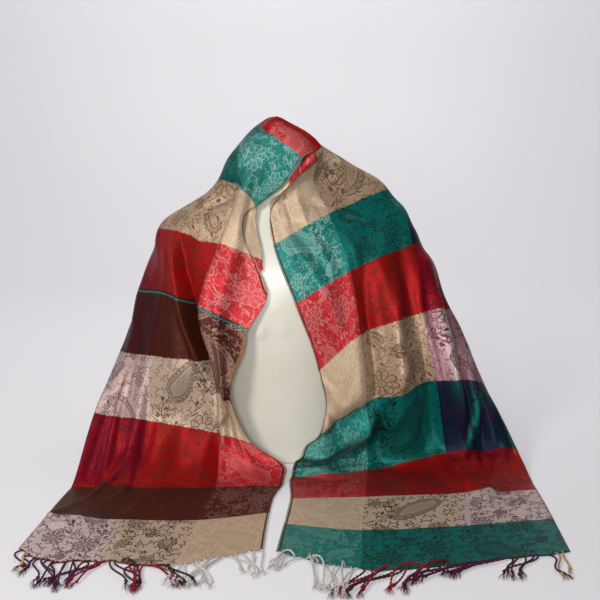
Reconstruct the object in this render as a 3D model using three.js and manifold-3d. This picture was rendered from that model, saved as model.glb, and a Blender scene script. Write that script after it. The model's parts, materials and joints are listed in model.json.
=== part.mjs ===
// Pashmina shawl, folded in two along its length and draped over the neck of a limbless bust form.
// Millimetres, +Z up. The bust faces -Y, and both ends of the shawl lie on the table in front of it.
import * as THREE from 'three';
import { mergeVertices } from 'three/addons/utils/BufferGeometryUtils.js';
import Module from 'manifold-3d';

// Driving dimensions
const WEFT_BAND = 110; // one stripe across the shawl
const BANDS = 17;
const HALF_LENGTH = (WEFT_BAND * BANDS) / 2;
const LAYER = 1.5; // one layer of cloth, with the air that it holds
const WALL = 2 * LAYER; // the shawl is folded in two, so its wall is both layers
const SEAM_GAP = 0.3;
const NECK_SPAN = 1.5 * WEFT_BAND; // how far from the middle the front stretches begin
const LIP_STEP = 4; // width of the slope from one thickness to the next
const CLOTH_CLEARANCE = 5; // from the middle of the wall to the bust
const FINITE_STEP = 2; // for slopes of the surface
const CLEARING_ROUNDS = 6; // steps at most that move a place clear of the bust
const LEAST_STEEPNESS = 0.2; // so that no such step is far too long
const WELD = 1e-4;

// The bust: half width, front and back at each height
const bustLevels = [
  { height: 0, half: 137, front: -88, back: 80 },
  { height: 60, half: 130, front: -88, back: 78 },
  { height: 130, half: 134, front: -92, back: 80 },
  { height: 200, half: 150, front: -99, back: 86 },
  { height: 265, half: 168, front: -101, back: 92 },
  { height: 320, half: 184, front: -94, back: 93 },
  { height: 360, half: 190, front: -84, back: 90 },
  { height: 388, half: 184, front: -75, back: 82 },
  { height: 408, half: 160, front: -67, back: 73 },
  { height: 425, half: 118, front: -61, back: 64 },
  { height: 442, half: 82, front: -57, back: 57 },
  { height: 465, half: 61, front: -53, back: 51 },
  { height: 495, half: 53, front: -49, back: 46 },
  { height: 520, half: 48, front: -45, back: 43 },
  { height: 536, half: 40, front: -38, back: 36 },
  { height: 545, half: 29, front: -29, back: 26 },
  { height: 549, half: 17, front: -18, back: 15 },
];
const BUST_TOP = 549;
const BUST_SQUARENESS = 2.3; // exponent of the level's outline, 2 is an ellipse
const BUST_SIDES = 28;

// The shawl's sections, one row for each line across it. along is the distance from the middle of the
// neck, below zero towards the left end. Each place is [across, x, y, z], and across is the distance from
// the selvedge by the neck opening. On the table z is 0.
const sections = [
  { along: -935, inner: [0, -15, -396, 0], stripe: [130, -133, -438, 0], crest: [270, -238, -430, 0],
    outer: [370, -318, -422, 0], fold: [415, -356, -392, 0] },
  { along: -715, inner: [0, -8, -188, 0], stripe: [130, -102, -197, 0], crest: [270, -222, -198, 0],
    outer: [365, -292, -197, 0], fold: [412, -331, -194, 0] },
  { along: -605, inner: [0, -40, -136, 54], stripe: [130, -97, -126, 64], crest: [270, -214, -112, 80],
    outer: [360, -280, -108, 88], fold: [408, -309, -104, 91] },
  { along: -495, inner: [0, -78, -130, 149], stripe: [130, -108, -122, 181], crest: [270, -206, -92, 186],
    outer: [345, -252, -62, 182], fold: [400, -277, -28, 176] },
  { along: -385, inner: [0, -47, -118, 240], stripe: [130, -130, -105, 277], crest: [270, -191, -62, 291],
    outer: [330, -241, -15, 286], fold: [385, -238, 34, 272] },
  { along: -275, inner: [0, -26, -95, 350], stripe: [130, -98, -77, 373], crest: [280, -203, -4, 386],
    outer: [330, -208, 40, 368], fold: [368, -202, 70, 330] },
  { along: -165, inner: [0, -34, -72, 430], stripe: [130, -61, -47, 461], crest: [190, -106, 5, 466],
    outer: [290, -134, 78, 398], fold: [375, -142, 96, 318] },
  { along: -110, inner: [0, 11, -68, 470], stripe: [130, -58, -37, 505], crest: [180, -82, 8, 508],
    outer: [290, -98, 86, 412], fold: [380, -98, 106, 320] },
  { along: -55, inner: [0, 41, -62, 513], stripe: [130, -24, -22, 549], crest: [180, -36, 25, 556],
    outer: [300, -48, 90, 425], fold: [388, -50, 114, 328] },
  { along: 0, inner: [0, 60, -54, 521], stripe: [130, 5, -4, 574], crest: [180, 4, 42, 560],
    outer: [298, 2, 92, 430], fold: [390, 0, 118, 322] },
  { along: 55, inner: [0, 22, -66, 484], stripe: [130, 66, -12, 527], crest: [180, 64, 35, 526],
    outer: [300, 54, 90, 425], fold: [388, 50, 115, 330] },
  { along: 110, inner: [0, -10, -68, 436], stripe: [130, 58, -47, 477], crest: [205, 110, 2, 501],
    outer: [305, 106, 84, 418], fold: [388, 100, 108, 326] },
  { along: 165, inner: [0, -7, -76, 376], stripe: [130, 81, -57, 426], crest: [240, 173, 2, 453],
    outer: [325, 164, 66, 400], fold: [390, 150, 96, 328] },
  { along: 275, inner: [0, 27, -112, 287], stripe: [130, 117, -100, 340], crest: [275, 222, -34, 371],
    outer: [340, 247, 18, 364], fold: [390, 234, 62, 334] },
  { along: 385, inner: [0, 64, -129, 179], stripe: [130, 133, -121, 237], crest: [270, 236, -80, 265],
    outer: [345, 287, -34, 262], fold: [400, 292, 4, 250] },
  { along: 495, inner: [0, 61, -148, 80], stripe: [130, 144, -136, 125], crest: [270, 260, -106, 155],
    outer: [360, 331, -74, 146], fold: [412, 352, -44, 128] },
  { along: 605, inner: [0, 20, -152, 2], stripe: [130, 148, -122, 3], crest: [270, 280, -101, 26],
    outer: [360, 352, -98, 31], fold: [420, 400, -95, 31] },
  { along: 715, inner: [0, 18, -231, 0], stripe: [130, 136, -224, 0], crest: [270, 285, -212, 0],
    outer: [365, 360, -205, 0], fold: [425, 411, -197, 0] },
  { along: 935, inner: [0, 2, -404, 0], stripe: [130, 115, -452, 0], crest: [270, 246, -436, 0],
    outer: [370, 340, -416, 0], fold: [425, 408, -403, 0] },
];
const RAILS = ['inner', 'stripe', 'crest', 'outer', 'fold'];

// The inner edge bows in and out: how far it moves sideways (+X) from the rows above
const innerBows = [
  { along: -935, sideways: 0 },
  { along: -770, sideways: 0 },
  { along: -690, sideways: 22 },
  { along: -650, sideways: 34 },
  { along: -605, sideways: 0 },
  { along: -550, sideways: -4 },
  { along: -440, sideways: 5 },
  { along: -412, sideways: 2 },
  { along: -385, sideways: -3 },
  { along: -358, sideways: 7 },
  { along: -330, sideways: 16 },
  { along: -275, sideways: 0 },
  { along: 385, sideways: 0 },
  { along: 440, sideways: 9 },
  { along: 550, sideways: -10 },
  { along: 605, sideways: 0 },
  { along: 935, sideways: 0 },
];
const INNER_BOW_REACH = 90; // how far across the bow is felt

// Along the neck the inner edge shows more or less than both layers. At the left the upper layer is
// drawn back over this width, and at the right a strip of this width is turned over outwards.
const innerLips = [
  { along: -330, width: 0 },
  { along: -275, width: 10 },
  { along: -225, width: 28 },
  { along: -175, width: 10 },
  { along: -140, width: 0 },
  { along: 10, width: 4 },
  { along: 55, width: 16 },
  { along: 110, width: 8 },
  { along: 140, width: 0 },
];
const LEAST_LIP = 6; // the grid's first column is at least this wide

// Creases: a soft ridge (height above 0) or trough between two places, [along, across]
const creases = [
  // left front: the raised pleat beside the neck opening and the trough beside it
  { from: [-150, 92], to: [-520, 70], height: 11, width: 22 },
  { from: [-250, 165], to: [-520, 165], height: -15, width: 24 },
  { from: [-300, 235], to: [-520, 225], height: 7, width: 26 },
  { from: [-330, 310], to: [-640, 330], height: -7, width: 24 },
  { from: [-560, 95], to: [-700, 120], height: -8, width: 24 },
  { from: [-570, 200], to: [-690, 215], height: -8, width: 22 },
  { from: [-560, 300], to: [-690, 300], height: 8, width: 24 },
  { from: [-780, 250], to: [-850, 255], height: 9, width: 22 },
  { from: [-745, 330], to: [-820, 380], height: 8, width: 24 },
  // right front
  { from: [170, 45], to: [330, 60], height: 6, width: 22 },
  { from: [170, 110], to: [330, 105], height: -6, width: 22 },
  { from: [300, 150], to: [560, 150], height: -10, width: 24 },
  { from: [290, 205], to: [560, 205], height: 9, width: 24 },
  { from: [300, 245], to: [540, 250], height: -8, width: 22 },
  { from: [330, 290], to: [580, 300], height: 10, width: 26 },
  { from: [380, 340], to: [600, 350], height: -8, width: 22 },
  { from: [500, 20], to: [620, 60], height: 12, width: 24 },
  { from: [700, 300], to: [760, 320], height: 7, width: 24 },
  { from: [780, 380], to: [850, 395], height: 6, width: 22 },
  // neck and shoulders
  { from: [-60, 40], to: [-150, 100], height: 5, width: 24 },
  { from: [110, 150], to: [280, 210], height: -7, width: 26 },
  { from: [120, 225], to: [290, 290], height: 6, width: 26 },
  // soft flutes down the back
  { from: [-236, 330], to: [-225, 380], height: 8, width: 26 },
  { from: [-175, 290], to: [-185, 380], height: -8, width: 24 },
  { from: [-115, 285], to: [-125, 390], height: 10, width: 26 },
  { from: [-30, 240], to: [-45, 390], height: -6, width: 28 },
  { from: [45, 275], to: [40, 390], height: 10, width: 26 },
  { from: [120, 260], to: [125, 390], height: -7, width: 26 },
  { from: [200, 310], to: [195, 395], height: 11, width: 26 },
  { from: [290, 300], to: [275, 395], height: -7, width: 24 },
];
const CREASE_FADE = 45; // how far a crease takes to die away past its ends

// Grid of each stretch
const ROW_SPACING = 28;
const NECK_ROW_SPACING = 19; // closer, where the cloth bends round the neck
const COLUMNS = 18;

// Fringe: cords of twisted warp ends past each hem
const CORD_LENGTH = 68;
const CORD_RADIUS = 1.3;
const CORD_SIDES = 3;
const CORD_STEPS = 4;
const CORD_PITCH = 12; // on one layer
const UNDER_LAYER_FROM = 165; // across, where the under layer begins to add its cords
const HEM_STRIP = 4; // width of the strip that holds the cords' roots
const HEM_STRIP_HEIGHT = 2.4;
const FLOOR_GAP = 0.4;
const CORD_GROUP = 4; // cords that lean together
const CORD_LEAN = 0.55; // how far a group closes up at its tips
const CORD_SPREAD = 24; // how far the cords fan outwards at the hem's outer end
const SHORTENING = 0.08; // of its length, from one group to the next
const GROUP_LENGTHS = 3; // groups after which the lengths repeat

// A cord's course: how far along it is, and how much of its lean and fan it has by then
const cordCourse = [
  { along: 0, lean: 0 },
  { along: 0.35, lean: 0.2 },
  { along: 0.7, lean: 0.65 },
  { along: 1, lean: 1 },
];

const colours = { cloth: 0xa3313a, fringe: 0x4a2228, bust: 0xe6e0cc };

// ---- curves through rows ----

// A smooth curve through values at increasing stations
function throughRows(stations, values, at) {
  const last = stations.length - 1;
  if (at <= stations[0]) return values[0];
  if (at >= stations[last]) return values[last];
  let index = 0;
  while (at > stations[index + 1]) index += 1;
  const slope = (i) => {
    const before = Math.max(i - 1, 0);
    const after = Math.min(i + 1, last);
    return (values[after] - values[before]) / (stations[after] - stations[before]);
  };
  const span = stations[index + 1] - stations[index];
  const t = (at - stations[index]) / span;
  const start = values[index] * (1 + 2 * t) * (1 - t) ** 2 + values[index + 1] * t * t * (3 - 2 * t);
  return start + slope(index) * span * t * (1 - t) ** 2 - slope(index + 1) * span * t * t * (1 - t);
}

const column = (rows, name) => throughRows.bind(null, rows.map((r) => r.along), rows.map((r) => r[name]));
const bowAt = column(innerBows, 'sideways');
const lipWidthAt = column(innerLips, 'width');

// The lip's extra thickness is full wherever the lip has a width
function lipExtraAt(along) {
  const width = lipWidthAt(along);
  const full = along < 0 ? -LAYER / 2 : LAYER;
  return full * THREE.MathUtils.smoothstep(width, 1, LEAST_LIP);
}

// ---- the bust ----

const bustHeights = bustLevels.map((level) => level.height);
const bustValue = (name, z) => throughRows(bustHeights, bustLevels.map((level) => level[name]), z);

// About how far a point stands outside the bust
function bustDistance(point) {
  const half = bustValue('half', point.z);
  const front = bustValue('front', point.z);
  const back = bustValue('back', point.z);
  const depth = (back - front) / 2;
  const x = Math.abs(point.x) / half;
  const y = Math.abs(point.y - (front + back) / 2) / depth;
  const reach = (x ** BUST_SQUARENESS + y ** BUST_SQUARENESS) ** (1 / BUST_SQUARENESS);
  return Math.max((reach - 1) * Math.min(half, depth), point.z - BUST_TOP);
}

function bustSlope(point) {
  const slope = new THREE.Vector3();
  for (const axis of ['x', 'y', 'z']) {
    const ahead = point.clone();
    const behind = point.clone();
    ahead[axis] += FINITE_STEP / 2;
    behind[axis] -= FINITE_STEP / 2;
    slope[axis] = (bustDistance(ahead) - bustDistance(behind)) / FINITE_STEP;
  }
  return slope;
}

// Moves a point out until it is clear of the bust
function clearOfBust(point, clearance) {
  for (let round = 0; round < CLEARING_ROUNDS; round += 1) {
    const slope = bustSlope(point);
    const steepness = Math.max(slope.length(), LEAST_STEEPNESS);
    const short = clearance - bustDistance(point) / steepness;
    if (short <= 0) return point;
    point.addScaledVector(slope.normalize(), short);
  }
  return point;
}

function bustGeometry() {
  const points = [];
  const faces = [];
  bustLevels.forEach(({ height, half, front, back }) => {
    for (let i = 0; i < BUST_SIDES; i += 1) {
      const angle = (2 * Math.PI * i) / BUST_SIDES;
      const power = 2 / BUST_SQUARENESS;
      const x = Math.sign(Math.cos(angle)) * Math.abs(Math.cos(angle)) ** power;
      const y = Math.sign(Math.sin(angle)) * Math.abs(Math.sin(angle)) ** power;
      points.push(half * x, (front + back) / 2 + ((back - front) / 2) * y, height);
    }
  });
  const levels = bustLevels.length;
  for (let level = 0; level < levels - 1; level += 1) {
    for (let i = 0; i < BUST_SIDES; i += 1) {
      const low = level * BUST_SIDES;
      const next = (i + 1) % BUST_SIDES;
      faces.push(low + i, low + next, low + BUST_SIDES + next);
      faces.push(low + i, low + BUST_SIDES + next, low + BUST_SIDES + i);
    }
  }
  const top = (levels - 1) * BUST_SIDES;
  for (let i = 1; i < BUST_SIDES - 1; i += 1) {
    faces.push(0, i + 1, i);
    faces.push(top, top + i, top + i + 1);
  }
  return meshed(points, faces);
}

function meshed(points, faces) {
  const geometry = new THREE.BufferGeometry();
  geometry.setAttribute('position', new THREE.Float32BufferAttribute(points, 3));
  geometry.setIndex(faces);
  geometry.computeVertexNormals();
  return geometry;
}

// ---- the cloth ----

const alongs = sections.map((row) => row.along);
const railTracks = RAILS.map((rail) => [0, 1, 2, 3].map((part) => sections.map((row) => row[rail][part])));

// The five places of the line across the cloth at one distance along it
function lineAcross(along) {
  return railTracks.map((track) => track.map((values) => throughRows(alongs, values, along)));
}

const foldAt = (along) => lineAcross(along)[RAILS.length - 1][0];

// A place on the smooth cloth, before its creases
function smoothPlace(along, across) {
  const line = lineAcross(along);
  const stations = line.map((place) => place[0]);
  const value = (part) => throughRows(stations, line.map((place) => place[part]), across);
  const place = new THREE.Vector3(value(1), value(2), value(3));
  place.x += bowAt(along) * Math.max(0, 1 - across / INNER_BOW_REACH) ** 2;
  return place;
}

function outward(along, across) {
  const byAlong = smoothPlace(along + FINITE_STEP, across).sub(smoothPlace(along - FINITE_STEP, across));
  const byAcross = smoothPlace(along, across + FINITE_STEP).sub(smoothPlace(along, across - FINITE_STEP));
  return byAlong.cross(byAcross).normalize();
}

// How high all creases lift the cloth at one place
function creaseLift(along, across) {
  return creases.reduce((total, { from, to, height, width }) => {
    const run = new THREE.Vector2(to[0] - from[0], to[1] - from[1]);
    const offset = new THREE.Vector2(along - from[0], across - from[1]);
    const t = offset.dot(run) / run.lengthSq();
    const past = Math.max(0, -t, t - 1) * run.length();
    const aside = Math.abs(offset.cross(run)) / run.length();
    return total + height * Math.exp(-((aside / width) ** 2) - (past / CREASE_FADE) ** 2);
  }, 0);
}

// The middle of the wall: creased, clear of the bust and on or above the table
function clothPlace(along, across) {
  const place = smoothPlace(along, across);
  const normal = outward(along, across);
  place.addScaledVector(normal, creaseLift(along, across));
  clearOfBust(place, CLOTH_CLEARANCE);
  place.z = Math.max(place.z, WALL / 2);
  return place;
}

function wallNormal(along, across) {
  const low = Math.max(across - FINITE_STEP, 0);
  const byAlong = clothPlace(along + FINITE_STEP, across).sub(clothPlace(along - FINITE_STEP, across));
  const byAcross = clothPlace(along, across + FINITE_STEP).sub(clothPlace(along, low));
  return byAlong.cross(byAcross).normalize();
}

// Distances across at which one row of the grid has its points
function stationsAcross(along) {
  const lip = Math.max(lipWidthAt(along), LEAST_LIP);
  const start = lip + LIP_STEP;
  const rest = COLUMNS - 2;
  const stations = [0, lip];
  for (let i = 0; i < rest; i += 1) stations.push(start + ((foldAt(along) - start) * i) / (rest - 1));
  return stations;
}

// Half of a seam, measured along the cloth. The sections press the cloth together in places, so it is
// widened until the walls' faces stand the whole gap apart, square to the seam, where they are closest.
function halfSeam(along) {
  const face = (a, b, side) => clothPlace(a, b).addScaledVector(wallNormal(a, b), (side * WALL) / 2);
  const gapRates = stationsAcross(along).flatMap((across) => [-1, 1].map((side) => {
    const low = Math.max(across - FINITE_STEP, 0);
    const byAlong = face(along + FINITE_STEP, across, side).sub(face(along - FINITE_STEP, across, side));
    const byAcross = face(along, across + FINITE_STEP, side).sub(face(along, low, side)).normalize();
    return byAlong.cross(byAcross).length() / (2 * FINITE_STEP);
  }));
  return SEAM_GAP / 2 / Math.min(...gapRates);
}

// A stretch of cloth between two distances along it, as a closed wall
function clothGeometry(start, end, spacing = ROW_SPACING) {
  const rows = Math.round((end - start) / spacing) + 1;
  const outer = [];
  const inner = [];
  for (let row = 0; row < rows; row += 1) {
    const along = start + ((end - start) * row) / (rows - 1);
    stationsAcross(along).forEach((across, col) => {
      const middle = clothPlace(along, across);
      const normal = wallNormal(along, across);
      const extra = col < 2 ? lipExtraAt(along) : 0;
      const out = middle.clone().addScaledVector(normal, WALL / 2 + extra);
      const within = middle.clone().addScaledVector(normal, -WALL / 2);
      within.z = Math.max(within.z, 0);
      outer.push(out.x, out.y, out.z);
      inner.push(within.x, within.y, within.z);
    });
  }
  const count = rows * COLUMNS;
  const faces = [];
  const quad = (a, b, c, d) => faces.push(a, b, c, a, c, d);
  const at = (index) => new THREE.Vector3().fromArray(outer, 3 * index);
  for (let row = 0; row < rows - 1; row += 1) {
    for (let col = 0; col < COLUMNS - 1; col += 1) {
      const a = row * COLUMNS + col;
      const b = a + COLUMNS;
      // parted along its shorter diagonal, so that sheared cloth stays smooth
      if (at(a).distanceTo(at(b + 1)) < at(b).distanceTo(at(a + 1))) {
        quad(a, b, b + 1, a + 1);
        quad(count + b + 1, count + b, count + a, count + a + 1);
      } else {
        quad(b, b + 1, a + 1, a);
        quad(count + b, count + a, count + a + 1, count + b + 1);
      }
    }
    const left = row * COLUMNS;
    const right = left + COLUMNS - 1;
    quad(left, count + left, count + left + COLUMNS, left + COLUMNS);
    quad(right, right + COLUMNS, count + right + COLUMNS, count + right);
  }
  for (let col = 0; col < COLUMNS - 1; col += 1) {
    const last = (rows - 1) * COLUMNS + col;
    quad(col, col + 1, count + col + 1, count + col);
    quad(last, count + last, count + last + 1, last + 1);
  }
  return meshed([...outer, ...inner], faces);
}

// ---- the fringe ----

const wasm = await Module();
wasm.setup();

function solidOf(geometry) {
  const bare = geometry.clone();
  bare.deleteAttribute('normal');
  bare.deleteAttribute('uv');
  const merged = mergeVertices(bare, WELD);
  const vertProperties = new Float32Array(merged.attributes.position.array);
  const triVerts = new Uint32Array(merged.index.array);
  return new wasm.Manifold(new wasm.Mesh({ numProp: 3, vertProperties, triVerts }));
}

function geometryOf(solid) {
  const { vertProperties, triVerts } = solid.getMesh();
  return meshed(Array.from(vertProperties), Array.from(triVerts));
}

// Distances across at which cords leave the hem: closer where two layers end
function cordStations(width) {
  const stations = [];
  let across = CORD_PITCH / 2;
  while (across < width - CORD_RADIUS) {
    stations.push(across);
    across += across < UNDER_LAYER_FROM ? CORD_PITCH : CORD_PITCH / 2;
  }
  return stations;
}

// A place on the hem, and the level direction in which its cords leave
function hemPlace(end, across) {
  const stations = stationsAcross(end);
  const after = Math.max(1, stations.findIndex((station) => station >= across));
  const [low, high] = [stations[after - 1], stations[after]];
  const from = clothPlace(end, low);
  const to = clothPlace(end, high);
  const run = to.clone().sub(from).setZ(0).multiplyScalar(Math.sign(end)).normalize();
  const away = new THREE.Vector3(run.y, -run.x, 0);
  return { place: from.lerp(to, (across - low) / (high - low)), away };
}

// The narrow strip past the hem, in which the cords are rooted
function hemStrip(end) {
  const points = [];
  const faces = [];
  const stations = stationsAcross(end);
  stations.forEach((across) => {
    const { place, away } = hemPlace(end, across);
    const near = place.clone().addScaledVector(away, SEAM_GAP);
    const far = place.clone().addScaledVector(away, SEAM_GAP + HEM_STRIP);
    const low = FLOOR_GAP;
    const high = FLOOR_GAP + HEM_STRIP_HEIGHT;
    points.push(near.x, near.y, low, far.x, far.y, low, far.x, far.y, high, near.x, near.y, high);
  });
  const side = Math.sign(end);
  const quad = (a, b, c, d) => faces.push(...(side < 0 ? [a, b, c, a, c, d] : [a, c, b, a, d, c]));
  const last = 4 * (stations.length - 1);
  for (let low = 0; low < last; low += 4) {
    for (let corner = 0; corner < 4; corner += 1) {
      const a = low + corner;
      const b = low + ((corner + 1) % 4);
      quad(a, b, b + 4, a + 4);
    }
  }
  quad(3, 2, 1, 0);
  quad(last, last + 1, last + 2, last + 3);
  return meshed(points, faces);
}

function cordSection() {
  const shape = new THREE.Shape();
  for (let i = 0; i < CORD_SIDES; i += 1) {
    const angle = (2 * Math.PI * i) / CORD_SIDES;
    const x = CORD_RADIUS * Math.cos(angle);
    const y = CORD_RADIUS * Math.sin(angle);
    if (i === 0) shape.moveTo(x, y);
    else shape.lineTo(x, y);
  }
  shape.closePath();
  return shape;
}

function fringeGeometry(end) {
  const width = foldAt(end);
  const stations = cordStations(width);
  const section = cordSection();
  const parts = [solidOf(hemStrip(end))];
  stations.forEach((across, i) => {
    const group = Math.floor(i / CORD_GROUP);
    const first = group * CORD_GROUP;
    const members = stations.slice(first, first + CORD_GROUP);
    const middle = members.reduce((sum, value) => sum + value, 0) / members.length;
    const side = Math.sign(end);
    const closing = (middle - across) * CORD_LEAN;
    const fan = (across / width) * CORD_SPREAD;
    const length = CORD_LENGTH * (1 - SHORTENING * (group % GROUP_LENGTHS));
    const { place, away } = hemPlace(end, across);
    const root = place.addScaledVector(away, SEAM_GAP + HEM_STRIP / 3);
    const height = FLOOR_GAP + CORD_RADIUS;
    const course = cordCourse.map(({ along, lean }) => new THREE.Vector3(
      root.x + side * (closing + fan) * lean, root.y - length * along, height));
    const path = new THREE.CatmullRomCurve3(course);
    parts.push(solidOf(new THREE.ExtrudeGeometry(section, { steps: CORD_STEPS, extrudePath: path })));
  });
  return geometryOf(parts.reduce((whole, part) => whole.add(part)));
}

// ---- the part ----

const clothMaterial = new THREE.MeshStandardMaterial({ color: colours.cloth, roughness: 0.6, metalness: 0 });
const fringeMaterial = new THREE.MeshStandardMaterial({ color: colours.fringe, roughness: 0.7, metalness: 0 });
const bustMaterial = new THREE.MeshStandardMaterial({ color: colours.bust, roughness: 0.3, metalness: 0 });

const part = new THREE.Group();

function addPiece(name, geometry, material) {
  const piece = new THREE.Mesh(geometry, material);
  piece.name = name;
  part.add(piece);
}

addPiece('bust_form', bustGeometry(), bustMaterial);
const leftHalfSeam = halfSeam(-NECK_SPAN);
const rightHalfSeam = halfSeam(NECK_SPAN);
addPiece('shawl_left', clothGeometry(-HALF_LENGTH, -NECK_SPAN - leftHalfSeam), clothMaterial);
addPiece('shawl_back', clothGeometry(-NECK_SPAN + leftHalfSeam, NECK_SPAN - rightHalfSeam, NECK_ROW_SPACING),
  clothMaterial);
addPiece('shawl_right', clothGeometry(NECK_SPAN + rightHalfSeam, HALF_LENGTH), clothMaterial);
addPiece('fringe_left', fringeGeometry(-HALF_LENGTH), fringeMaterial);
addPiece('fringe_right', fringeGeometry(HALF_LENGTH), fringeMaterial);

// The origin is under the middle of the whole part, on the table
const box = new THREE.Box3().setFromObject(part);
const centre = box.getCenter(new THREE.Vector3());
part.position.set(-centre.x, -centre.y, -box.min.z);

export default part;
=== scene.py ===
"""A jacquard pashmina shawl, folded along its length and draped over a limbless bust form.

The cloth, its fringe and the bust are built in the drape's own millimetres, with X = 0 and Y = 0 in the
middle of the bust and Z = 0 on the table, and then moved into the frame.
"""

import json
import math
from functools import partialmethod

import bpy
import numpy as np
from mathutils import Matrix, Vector

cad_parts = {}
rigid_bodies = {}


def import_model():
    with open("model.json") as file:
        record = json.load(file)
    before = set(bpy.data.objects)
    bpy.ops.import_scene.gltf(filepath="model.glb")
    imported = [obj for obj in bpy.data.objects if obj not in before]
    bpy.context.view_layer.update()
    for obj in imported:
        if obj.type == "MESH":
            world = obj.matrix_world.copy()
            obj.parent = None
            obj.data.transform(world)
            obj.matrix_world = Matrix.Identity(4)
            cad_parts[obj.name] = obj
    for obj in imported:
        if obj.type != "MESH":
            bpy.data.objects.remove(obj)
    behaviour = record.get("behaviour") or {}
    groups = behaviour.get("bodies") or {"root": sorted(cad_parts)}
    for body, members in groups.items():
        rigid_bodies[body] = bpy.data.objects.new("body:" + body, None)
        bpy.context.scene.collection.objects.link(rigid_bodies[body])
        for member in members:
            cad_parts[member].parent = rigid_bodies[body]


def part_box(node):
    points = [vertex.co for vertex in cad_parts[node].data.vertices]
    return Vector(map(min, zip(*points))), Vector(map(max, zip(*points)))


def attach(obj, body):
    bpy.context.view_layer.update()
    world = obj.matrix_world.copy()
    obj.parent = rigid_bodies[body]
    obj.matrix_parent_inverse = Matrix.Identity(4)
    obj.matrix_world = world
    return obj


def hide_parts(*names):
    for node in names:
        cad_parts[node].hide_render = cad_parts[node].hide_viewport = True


MM = 0.001
UP = np.array([0.0, 0.0, 1.0])
SIDEWAYS = np.array([1.0, 0.0, 0.0])

# ---------------------------------------------------------------- sizes of the shawl, in mm
WIDTH = 700
WEFT_BAND = 110
BAND_COUNT = 17
HALF_LENGTH = BAND_COUNT * WEFT_BAND / 2
ROW_STEP = 4.2
DRAPE_COLUMNS = 150
UPPER_COLUMNS = 108
UNDER_COLUMNS = 62
HALF_LAYER = 0.9  # from the middle of the folded cloth to either layer
FOLD_RADIUS = 5
ROLLED_EDGE = 16  # of the under layer's selvedge, out of sight where the layer is shown
LEAST_HEIGHT = 2.1  # of the middle of the folded cloth over the table
LEAST_LAYER_HEIGHT = 0.6
HEM_RIPPLE = 3
HEM_REACH = 70  # how far from the hem the ripple is felt

# The strip turned over at the neck
STRIP_SHARE = 0.1  # of the upper layer's columns
STRIP_SHARE_FROM = 12  # the width from which it has that share
STRIP_TURN = (2, 44)  # from the width where it begins to stand out to where it does so fully
STRIP_OVERHANG = 15  # how far its fold stands out past the edge
STRIP_FOOT = 2.4  # its height over the cloth at its selvedge and at its fold
STRIP_HEIGHT = 7  # how much higher it is between them
STRIP_ROUNDING = 0.55  # below 1 it is highest near its fold
STRIP_CLOTH_REACH = 60  # how far across the cloth taken up by the strip is made good
EDGE_PROBE = 6
# Beside it the cloth is pulled along: at along, half length, half width, from and to across, shift
STRIP_PULL = (30, 45, 70, 4, 34, 26)
STRIP_PULL_FULL_AT = 14  # the strip's width there

# The knife pleat
PLEAT_AT = 126  # across, where its edge is
PLEAT_WIDTH = 5
PLEAT_FULL_AT = 30  # hidden cloth from which it has its full height
PLEAT_DROP = 12
PLEAT_RIDGE = (8, 22, 0.75)  # how far before its edge, width and share of the drop
PLEAT_VALLEY = (40, 0.5)  # beyond its edge: width and share of the drop
# Before it the cloth has slipped along it: at along, half length, how far
PLEAT_SLIP = (-520, 48, 40)

CREASE_FADE = 45  # how far a crease takes to die away past its ends
INNER_BOW_REACH = 90
CLOTH_CLEARANCE = 5
CLEARING_ROUNDS = 6
LEAST_STEEPNESS = 0.2
FINITE_STEP = 2
BUST_TOP = 549
BUST_CROWN = 520  # above it the levels lie closer
BUST_SIDES = 128
BUST_SQUARENESS = 2.3

# The bust: height, half width, front and back
BUST_LEVELS = np.array([
    (0, 137, -88, 80), (60, 130, -88, 78), (130, 134, -92, 80), (200, 150, -99, 86),
    (265, 168, -101, 92), (320, 184, -94, 93), (360, 190, -84, 90), (388, 184, -75, 82),
    (408, 160, -67, 73), (425, 118, -61, 64), (442, 82, -57, 57), (465, 61, -53, 51),
    (495, 53, -49, 46), (520, 48, -45, 43), (536, 40, -38, 36), (545, 29, -29, 26),
    (549, 17, -18, 15),
], float)

# Soft relief on the chest, a ridge to each side of a trough: from (x, z), to (x, z), height, width
BUST_RELIEF = (
    ((-12, 286), (-31, 231), 5.2, 8),
    ((-5, 284), (5, 236), 4.4, 7),
    ((-11, 268), (-12, 232), -2.0, 7),
)
RELIEF_START = 0.1  # of its height, at its upper end

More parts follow.
